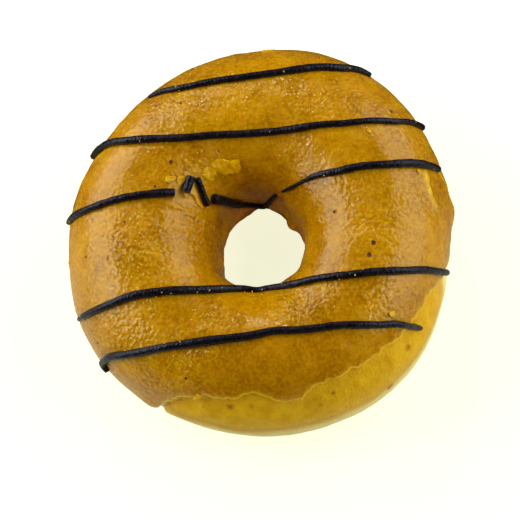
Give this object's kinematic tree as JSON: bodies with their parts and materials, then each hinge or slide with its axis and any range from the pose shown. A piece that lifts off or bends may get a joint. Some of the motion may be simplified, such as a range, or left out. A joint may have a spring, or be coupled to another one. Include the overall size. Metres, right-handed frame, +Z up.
{
  "type": "iced ring doughnut",
  "caption": "Small fried ring doughnut with a hole, caramel icing over its top and sides, and thick dark chocolate lines drizzled across the icing.",
  "frame": {"origin": "on the surface the doughnut lies on, under the middle of its outline", "axes": "+Z up through the hole, out of the iced side; +Y towards the top of the picture; +X towards its right"},
  "size_m": [0.0598, 0.0604, 0.0239],
  "materials": {
    "dough": "golden fried crumb skin, matt",
    "icing": "caramel icing, satin, finely dimpled",
    "drizzle": "dark chocolate, satin"
  },
  "bodies": {
    "root": {"dough": "dough", "icing": "icing"}
  },
  "joints": []
}
